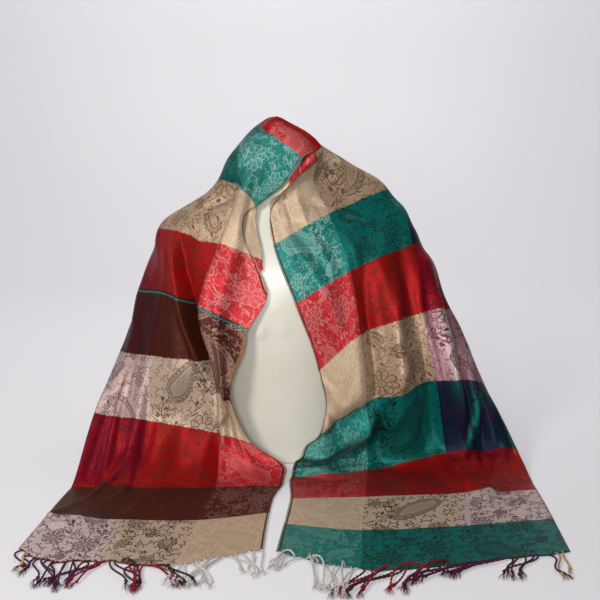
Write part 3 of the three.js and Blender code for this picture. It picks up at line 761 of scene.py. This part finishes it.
def figures(tree, u, v):
    """The woven figure from 0, ground, to 1, figure, in a repeat one warp stripe wide."""
    tile_w, tile_h = 140, 214
    bend, both = noise(tree, u, v, 60, 0)
    drift = new_node(tree, "SeparateColor", {0: both})
    u2 = u + 10 + (Field(tree, drift.outputs[1]) - 0.5) * 14
    v2 = v + (bend - 0.5) * 14
    column = (u2 / tile_w).math("FLOOR")
    odd = column.math("MODULO", 2)
    # every second column is mirrored, and each is moved along from the last
    x = (u2 - column * tile_w - tile_w / 2) * (odd * -2 + 1)
    y = (v2 + column * 67 + 56).math("WRAP", tile_h / 2, -tile_h / 2)
    pieces = [
        paisley(x, y, (-40, 8), 80, 0.35, 1),
        flower(x, y, (32, -44), 21, 9, 0.4),
        flower(x, y, (-34, -60), 19, 9, 1.7),
        paisley(x, y, (52, 88), 56, 2.5, -1, 0.7),
        flower(x, y, (-40, 88), 14, 7, 0.2),
        flower(x, y, (10, 46), 8, 6, 0.9, 0.6),
        flower(x, y, (0, -90), 7, 5, 0.3, 0.6),
        flower(x, y, (58, 14), 8, 5, 1.1, 0.6),
    ]
    lines, taken, tones = pieces[0]
    for piece_lines, inside, tone in pieces[1:]:
        free = taken * -1 + 1
        lines = lines.most(piece_lines * free)
        tones = tones.most(tone * free)
        taken = taken.most(inside)
    free = taken * -1 + 1
    stems = vine(x, y, 40, tile_h, tile_h / 13, 0.9).most(vine(x, y, -52, tile_h, tile_h / 15, 2.4))
    branches = vine(y, x, 26, tile_w, tile_w / 9, 0.6).most(vine(y + 62, x, -20, tile_w, tile_w / 8, 1.8))
    branches = branches * noise(tree, u, v, 26, 0)[0].mapped(0.43, 0.46)
    filler = scattered_sprigs(tree, u, v, 16, 6.6)
    return lines.most(stems.most(branches).most(filler * 0.6) * free).most(tones)


def attribute_field(tree, name):
    return Field(tree, new_node(tree, "Attribute", {}, attribute_name=name).outputs["Fac"])


def scaled_colour(tree, colour, shade):
    return new_node(tree, "VectorMath", {0: colour, "Scale": shade}, operation="SCALE").outputs[0]


def bumped(tree, height, strength, distance):
    inputs = {"Height": height, "Strength": strength, "Distance": distance}
    return new_node(tree, "Bump", inputs).outputs[0]


def new_material(name):
    material = bpy.data.materials.new(name)
    material.use_nodes = True
    tree = material.node_tree
    return material, tree, tree.nodes["Principled BSDF"]


def cloth_material():
    material, tree, shader = new_material("jacquard")
    uv = new_node(tree, "UVMap", {}, uv_map="cloth")
    parts = new_node(tree, "SeparateXYZ", {0: uv.outputs[0]})
    u = Field(tree, parts.outputs[0]) * 1000
    v = Field(tree, parts.outputs[1]) * 1000 - 1000
    figure = figures(tree, u, v)
    # painted sheen from the mesh: where it is laid, the weft's colour and paler grounds stand in for the
    # satin's sheen
    painted_sheen = attribute_field(tree, "painted_sheen")
    reverse = attribute_field(tree, "reverse")
    # small specks of the other threads come up all over
    speck = noise(tree, u, v * 0.6, 2.0, 1)[0].mapped(0.54, 0.60)
    # the figure shows stronger where painted sheen is laid
    figure = (figure * (painted_sheen * 0.7 + 1)).most(speck * 0.22).clamped()
    # where a stripe of weft meets the next, the threads interlace
    jag = (u * 1.9).sin() * 0.7 + (noise(tree, u, v, 9)[0] - 0.5) * 3
    place = (v + jag + HALF_LENGTH) / (2 * HALF_LENGTH)
    warp_place = u + (noise(tree, u, v, 5)[0] - 0.5) * 2
    ground_colour = figure_colour = None
    edge = 0
    for name, width in WARPS:
        pair = []
        for which in (0, 1):
            colours = [GROUND_AND_FIGURE[band][name][which] for band in BANDS]
            pair.append(stepped_ramp(tree, place, colours))
            # where painted sheen is laid, the purple and gold stripes turn pale on tan and cream, and maroon
            # elsewhere
            if name in ("purple", "gold"):
                pale = (PALE_PAINTED_SHEEN, GROUND_AND_FIGURE["cream"][name][1])[which]
                colours = [pale if band in ("tan", "cream") else GROUND_AND_FIGURE[band]["maroon"][which]
                           for band in BANDS]
                pair[which] = mixed(tree, painted_sheen, pair[which], stepped_ramp(tree, place, colours))
        if ground_colour is None:
            ground_colour = pair[0]
            # where painted sheen is laid, the white stripe's figure fades into its ground
            figure_colour = mixed(tree, painted_sheen * 0.6, pair[1], pair[0])
        else:
            past = (warp_place - edge).mapped(-0.6, 0.6)
            ground_colour = mixed(tree, past, ground_colour, pair[0])
            figure_colour = mixed(tree, past, figure_colour, pair[1])
        edge += width
    colour = mixed(tree, figure, ground_colour, figure_colour)
    # a single line of teal weft where the red meets the brown at the left
    colour = mixed(tree, (v + jag * 0.3 + TEAL_LINE_AT).line(1.1), colour, (0.006, 0.150, 0.140))
    colour = mixed(tree, reverse * 0.75, colour, (0.19, 0.105, 0.045))
    # a red thread runs along the left hem
    colour = mixed(tree, (v + jag + HALF_LENGTH - 2).inside() * 0.7, colour, (0.22, 0.016, 0.022))
    # selvedges: a thin dark line, and paler threads outside it
    to_edge = u.least(u * -1 + WIDTH)
    colour = mixed(tree, to_edge.mapped(3.4, 4.2, 0.4, 0), colour, (0.26, 0.20, 0.16))
    colour = mixed(tree, (to_edge - 4.4).line(1.3) * 0.95, colour, (0.030, 0.014, 0.010))
    # threads, worn and uneven
    thread = (noise(tree, u * 6, v, 7, 2)[0] - 0.5) + (noise(tree, u, v * 6, 7, 2)[0] - 0.5)
    grain = noise(tree, u, v, 1.6, 1)[0]
    shade = thread * 0.6 + (grain - 0.5) * 0.5 + 1.0
    twill = ((u + v) * 5.2).sin() * 0.35 + figure * 0.8 + thread * 0.6 + (grain - 0.5) * 0.6
    threads = new_node(tree, "Tangent", {}, direction_type="UV_MAP", uv_map="cloth")
    connect(tree, shader, {
        "Base Color": scaled_colour(tree, colour, shade),
        "Roughness": figure * 0.1 + 0.36 + (thread * 0.1),
        "Sheen Weight": 0.01,
        "Sheen Roughness": 0.4,
        "Anisotropic": 0.3,
        "Specular IOR Level": 0.1,
        "Metallic": 0.35,
        "Tangent": threads.outputs[0],
        "Normal": bumped(tree, twill, 0.35, 0.0006),
    })
    return material


def object_noise(tree, scale, detail):
    """Noise in the object's own space, at scale to a metre."""
    coords = new_node(tree, "TexCoord", {})
    inputs = {"Vector": coords.outputs["Object"], "Scale": scale, "Detail": detail}
    return Field(tree, new_node(tree, "TexNoise", inputs).outputs[0])


def fringe_material():
    material, tree, shader = new_material("twisted_warp")
    tone = new_node(tree, "VertexColor", {}, layer_name="thread")
    fibres = object_noise(tree, 900, 3)
    connect(tree, shader, {
        "Base Color": scaled_colour(tree, tone.outputs[0], fibres.mapped(0.25, 0.75, 0.6, 1.35)),
        "Normal": bumped(tree, fibres, 0.5, 0.0005),
        "Roughness": 0.6,
        "Sheen Weight": 0.03,
        "Specular IOR Level": 0.12,
    })
    return material


def bust_material():
    material, tree, shader = new_material("gloss_plastic")
    cloud = object_noise(tree, 7, 4)
    connect(tree, shader, {
        "Base Color": mixed(tree, cloud.mapped(0.3, 0.7), (0.545, 0.53, 0.46), (0.58, 0.565, 0.495)),
        "Roughness": object_noise(tree, 60, 6).mapped(0.3, 0.8, 0.22, 0.32),
        "Normal": bumped(tree, cloud, 0.05, 0.002),
        "Specular IOR Level": 0.22,
        "Coat Weight": 0.05,
        "Coat Roughness": 0.1,
    })
    return material


# ---------------------------------------------------------------- pieces
def build_cloth(drape):
    upper, upper_cloth, upper_along = upper_layer(drape)
    under, under_cloth = under_layer(drape)
    places = np.concatenate([upper, under], 1)
    places[..., 2] = np.maximum(places[..., 2], LEAST_LAYER_HEIGHT)
    cloth = np.concatenate([upper_cloth, under_cloth], 1)
    rows, columns = cloth.shape
    obj = add_object("shawl_cloth", places, grid_faces(rows, columns))
    under_along = np.broadcast_to(drape.along[:, None], under_cloth.shape)
    along = np.concatenate([upper_along, under_along], 1)
    set_uv(obj, np.stack([cloth, along + 1000], -1).reshape(-1, 2) * MM)
    # no painted highlight ridge lies on the under layer
    across = np.concatenate([upper_cloth, 0 * under_cloth - 100], 1)
    # painted sheen: the weft's colour where the cloth lies level, and painted highlights along the chosen
    # ridges
    levelness = np.abs(normals_of(places)[..., 2])
    painted_sheen = smoothstep(*PAINTED_SHEEN_LEVELNESS, levelness) + crease_lift(along, across, PAINTED_HIGHLIGHT_RIDGES)
    set_number(obj, "painted_sheen", np.clip(painted_sheen, 0, 1))
    high_end, low_end, width = REVERSE_SHOWN
    in_reach = smoothstep(*high_end, along) * smoothstep(*low_end, along)
    turned = in_reach * smoothstep(*width, cloth - drape.states[:, 2][:, None])
    turned[:, UPPER_COLUMNS:] = 0
    set_number(obj, "reverse", turned)
    return obj


def tube_faces(rings, sides, start=0):
    """The faces between rings of points that follow one another."""
    faces = []
    for low in range(start, start + (rings - 1) * sides, sides):
        for k in range(sides):
            a, b = low + k, low + (k + 1) % sides
            faces.append((a, b, b + sides, a + sides))
    return faces


def build_bust():
    heights = np.concatenate([np.linspace(0, BUST_CROWN, 105), np.linspace(BUST_CROWN + 3, BUST_TOP, 14)])
    values = through_rows(BUST_LEVELS[:, 0], BUST_LEVELS[:, 1:], heights)
    angle = np.linspace(0, 2 * math.pi, BUST_SIDES, endpoint=False)
    power = 2 / BUST_SQUARENESS
    half, front, back = values.T[:, :, None]
    x = half * np.sign(np.cos(angle)) * np.abs(np.cos(angle)) ** power
    y = (front + back) / 2 + (back - front) / 2 * np.sign(np.sin(angle)) * np.abs(np.sin(angle)) ** power
    z = np.broadcast_to(heights[:, None], x.shape)
    for start, end, relief, width in BUST_RELIEF:
        down, aside = beside_line(x, z, start, end)
        past = np.maximum(0, np.maximum(-down, down - 1)) * math.dist(start, end)
        swelling = RELIEF_START + (1 - RELIEF_START) * np.clip(down, 0, 1)
        ridge = relief * swelling * np.exp(-((aside / width) ** 2) - (past / width) ** 2)
        y = np.where(y < 0, y - ridge, y)
    faces = tube_faces(len(heights), BUST_SIDES)
    faces.append(tuple(range(BUST_SIDES))[::-1])
    faces.append(tuple(range((len(heights) - 1) * BUST_SIDES, len(heights) * BUST_SIDES)))
    return add_object("bust", np.stack([x, y, z], -1), faces)


def twisted_cord(path, radius, plies, turns, sides=6):
    """Points and faces of plies wound round a path. The path has its places close together."""
    run = np.gradient(path, axis=0)
    run /= np.linalg.norm(run, axis=1, keepdims=True)
    aside = np.cross(run, UP)
    aside /= np.maximum(np.linalg.norm(aside, axis=1, keepdims=True), 1e-6)
    over = np.cross(aside, run)
    ring = np.linspace(0, 2 * math.pi, sides, endpoint=False)[None, :, None]
    section = aside[:, None] * np.cos(ring) + over[:, None] * np.sin(ring)
    points, faces = [], []
    for ply in range(plies):
        phase = 2 * math.pi * ply / plies + np.linspace(0, turns * 2 * math.pi, len(path))[:, None]
        wound = aside * np.cos(phase) + over * np.sin(phase)
        middle = path + wound * radius[:, None] * PLY_OFFSET
        tube = middle[:, None] + section * radius[:, None, None] * PLY_RADIUS
        points.append(tube.reshape(-1, 3))
        faces += tube_faces(len(path), sides, ply * len(path) * sides)
    return np.concatenate(points), faces


THREADS = {
    "white": (0.43, 0.40, 0.38), "maroon": (0.050, 0.004, 0.007), "red": (0.17, 0.003, 0.009),
    "purple": (0.040, 0.005, 0.046), "gold": (0.34, 0.22, 0.09), "brown": (0.026, 0.011, 0.009),
}
# How the fringe is gathered in tangles: from and to across, drift sideways, reach, height
TANGLES = {
    -1: ((0, 55, 8, 56, 3), (55, 118, -16, 60, 5), (118, 180, 30, 46, 7), (180, 250, 22, 64, 8),
         (250, 318, -14, 58, 6), (318, 372, 12, 64, 8), (372, 430, 26, 52, 8)),
    1: ((0, 40, -6, 30, 5), (40, 100, 16, 60, 6), (100, 150, -24, 66, 8), (150, 200, -52, 62, 8),
        (200, 246, -44, 56, 8), (246, 292, -60, 44, 8), (292, 346, -56, 36, 6), (346, 398, -30, 52, 6),
        (398, 430, -12, 60, 4)),
}
# Where cords lie over the hem before they turn down: end, from and to across, how far over it
OVER_HEM = ((1, 20, 110, 16), (1, 170, 262, 11), (-1, 205, 235, 10))
CORD_PITCH = (7.6, 10.4)
CORD_STEPS = 30
CORD_RADIUS = 1.6
CORD_TURNS = 7
PLY_OFFSET = 0.5  # from the cord's middle, in cord radii
PLY_RADIUS = 0.58
KNOT = (1.3, 1.75, 1.75, 1.2)  # how much thicker the cord is at its last steps
TUFT_HAIRS = 13
TUFT_SPREAD = 0.34
HAIR_RADIUS = (0.85, 0.25)
LEAST_HAIR_HEIGHT = 0.95
FORWARD_SHARE = 0.6  # of a cord's direction: the outer cords fall towards the front with the others
FOLD_REACH = 30  # so near the fold, some cords grow from the stripe that is folded under


def warp_colour(u, rng):
    """The colour of a cord twisted from the warp at u across."""
    edge = 0
    for name, width in WARPS:
        edge += width
        if u < edge:
            break
    others = {"maroon": ["maroon", "maroon", "red", "red", "brown"], "purple": ["purple", "maroon", "maroon"],
              "gold": ["gold", "purple"]}
    return np.array(THREADS[rng.choice(others.get(name, [name]))])


def rotated(way, turn):
    c, s = math.cos(turn), math.sin(turn)
    return np.array([way[0] * c - way[1] * s, way[0] * s + way[1] * c, 0])


def build_fringe(drape, side):
    row = 0 if side < 0 else len(drape.along) - 1
    fold = drape.fold[row]
    hem = drape.places[row]
    tangent = np.gradient(hem, axis=0) * side
    away = np.stack([tangent[:, 1], -tangent[:, 0], np.zeros(len(hem))], -1)
    away /= np.linalg.norm(away, axis=1, keepdims=True)
    away = away * (1 - FORWARD_SHARE) + np.array([0, -FORWARD_SHARE, 0])
    away /= np.linalg.norm(away, axis=1, keepdims=True)
    points, faces, colours = [], [], []
    rng = np.random.default_rng(21 + side)

    def add(new_points, new_faces, colour):
        start = sum(len(p) for p in points)
        points.append(new_points)
        faces.extend([tuple(start + i for i in f) for f in new_faces])
        colours.append(np.tile(colour, (len(new_points), 1)))

    def hem_at(across):
        return [np.array([np.interp(across / fold, drape.share, values[:, k]) for k in range(3)])
                for values in (hem, away)]

    across = 4.0
    while across < fold - 3:
        low, high, drift, reach, height = next(t for t in TANGLES[side] if t[0] <= across < t[1])
        root, out = hem_at(across)
        middle, _ = hem_at(min((low + high) / 2, fold - 3))
        aside = np.array([-out[1], out[0], 0.0])
        goal = middle + out * reach * rng.uniform(0.8, 1.06) + SIDEWAYS * (drift + rng.normal() * 8)
        goal[2] = rng.uniform(1.6, height)
        start = root - out * 1.5
        start[2] = max(root[2] + 0.6, rng.uniform(1.6, 2.8))
        bow = rng.normal() * 15
        one = start + out * reach * rng.uniform(0.2, 0.5) + aside * bow
        two = goal - out * reach * rng.uniform(0.05, 0.5) - aside * bow * rng.uniform(0.2, 1.1)
        one[2], two[2] = rng.uniform(2, 3 + height, 2)
        for end, over_low, over_high, back in OVER_HEM:
            if end == side and over_low < across < over_high and rng.random() < 0.55:
                one = start - out * back * 2.2 + aside * rng.normal() * 16
                one[2] = 9
                two[2] = 7
        t = np.linspace(0, 1, CORD_STEPS)[:, None]
        path = (1 - t)**3 * start + 3 * (1 - t)**2 * t * one + 3 * (1 - t) * t * t * two + t**3 * goal
        radius = np.full(CORD_STEPS, CORD_RADIUS)
        radius[-len(KNOT):] *= KNOT
        path[:, 2] = np.maximum(path[:, 2], radius * 1.1 + 0.3)
        cloth = across if across < fold - FOLD_REACH or rng.random() < 0.6 else fold + 20
        colour = warp_colour(cloth, rng) * rng.uniform(0.8, 1.2)
        add(*twisted_cord(path, radius, 2, CORD_TURNS), colour)
        # the tuft past the knot
        heading = (path[-1] - path[-5]) * np.array([1, 1, 0])
        heading /= np.linalg.norm(heading)
        steps = np.linspace(0, 1, 5)[:, None]
        for _ in range(TUFT_HAIRS):
            way = rotated(heading, rng.normal() * TUFT_SPREAD)
            reached = path[-1] + way * rng.uniform(7, 14) * steps
            rise = np.sin(steps * math.pi) * rng.uniform(-0.5, 1.6) - (path[-1][2] - 1.0) * steps**2
            hair = reached + UP * rise
            hair[:, 2] = np.maximum(hair[:, 2], LEAST_HAIR_HEIGHT)
            tube = twisted_cord(hair, np.linspace(*HAIR_RADIUS, len(hair)), 1, 0, sides=3)
            add(*tube, colour * rng.uniform(0.8, 1.35))
        across += rng.uniform(*CORD_PITCH)
    name = "fringe_cords_left" if side < 0 else "fringe_cords_right"
    obj = add_object(name, np.concatenate(points), faces)
    set_colour(obj, "thread", np.concatenate(colours))
    return obj


# ---------------------------------------------------------------- the scene
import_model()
BUST_LOW, BUST_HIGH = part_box("bust_form")
bust_middle = (BUST_LOW + BUST_HIGH) / 2
SHIFT = np.array([bust_middle.x / MM, bust_middle.y / MM + 4, BUST_LOW.z / MM])
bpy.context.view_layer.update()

for old in [o for o in bpy.context.scene.objects if o.type in ("LIGHT", "CAMERA") or o.name == "Cube"]:
    bpy.data.objects.remove(old)

drape = Drape()
shawl = build_cloth(drape)
shawl.data.materials.append(cloth_material())
bust = build_bust()
bust.data.materials.append(bust_material())
threads = fringe_material()
fringes = [build_fringe(drape, side) for side in (-1, 1)]
for piece in fringes:
    piece.data.materials.append(threads)

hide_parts("shawl_left", "shawl_back", "shawl_right")
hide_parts("bust_form")
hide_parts("fringe_left")
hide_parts("fringe_right")
for piece in (shawl, bust, *fringes):
    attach(piece, "root")

# a pale floor that sweeps up behind
BEND = 0.8  # radius, in metres
sweep = [(-3.0, 0.0), (1.5, 0.0)]
sweep += [(1.5 + BEND * math.sin(a), BEND - BEND * math.cos(a)) for a in np.linspace(0.1, math.pi / 2, 14)]
sweep += [(1.5 + BEND, 4.0)]
floor_mesh = bpy.data.meshes.new("floor")
floor_mesh.from_pydata([(x, y, z) for y, z in sweep for x in (-4.0, 4.0)], [],
                       [(2 * k, 2 * k + 1, 2 * k + 3, 2 * k + 2) for k in range(len(sweep) - 1)])
floor_mesh.polygons.foreach_set("use_smooth", [True] * len(floor_mesh.polygons))
floor = bpy.data.objects.new("floor", floor_mesh)
floor.location.z = BUST_LOW.z - 0.0002
bpy.context.scene.collection.objects.link(floor)
floor_material, floor_tree, floor_shader = new_material("floor")
connect(floor_tree, floor_shader, {
    "Base Color": (0.37, 0.36, 0.37),
    "Roughness": 0.6,
    "Emission Color": (0.96, 0.95, 1.0),
    "Emission Strength": 0.3,
})
floor_mesh.materials.append(floor_material)

# light
world = bpy.data.worlds.new("studio")
bpy.context.scene.world = world
world.use_nodes = True
connect(world.node_tree, world.node_tree.nodes["Background"], {"Color": (0.84, 0.83, 0.87), "Strength": 0.16})
bpy.context.scene.view_settings.view_transform = "Standard"


def softbox(name, place, target, size, power, colour):
    data = bpy.data.lights.new(name, "AREA")
    data.shape = "RECTANGLE"
    data.size, data.size_y = size
    data.energy = power
    data.color = colour
    obj = bpy.data.objects.new(name, data)
    obj.location = Vector(place)
    obj.rotation_euler = (Vector(target) - Vector(place)).to_track_quat("-Z", "Y").to_euler()
    bpy.context.scene.collection.objects.link(obj)


middle = (bust_middle.x, bust_middle.y - 0.05, 0.28)
softbox("key", (-0.95, -1.2, 1.25), middle, (0.4, 0.4), 25, (1.0, 0.98, 0.95))
softbox("flash", (-0.1, -1.5, 0.66), middle, (0.34, 0.34), 14.5, (1.0, 1.0, 1.0))
softbox("wash", (0.0, 0.6, 1.9), (bust_middle.x, 2.4, 0.7), (1.6, 0.8), 40, (1.0, 1.0, 1.0))

# the camera
camera_data = bpy.data.cameras.new("camera")
camera_data.sensor_width = 36
camera_data.lens = 57.06
camera = bpy.data.objects.new("camera", camera_data)
camera.location = ((35 + SHIFT[0]) * MM, (-1600 + SHIFT[1]) * MM, (635 + SHIFT[2]) * MM)
camera.rotation_euler = (math.radians(77), 0, 0)
bpy.context.scene.collection.objects.link(camera)
bpy.context.scene.camera = camera
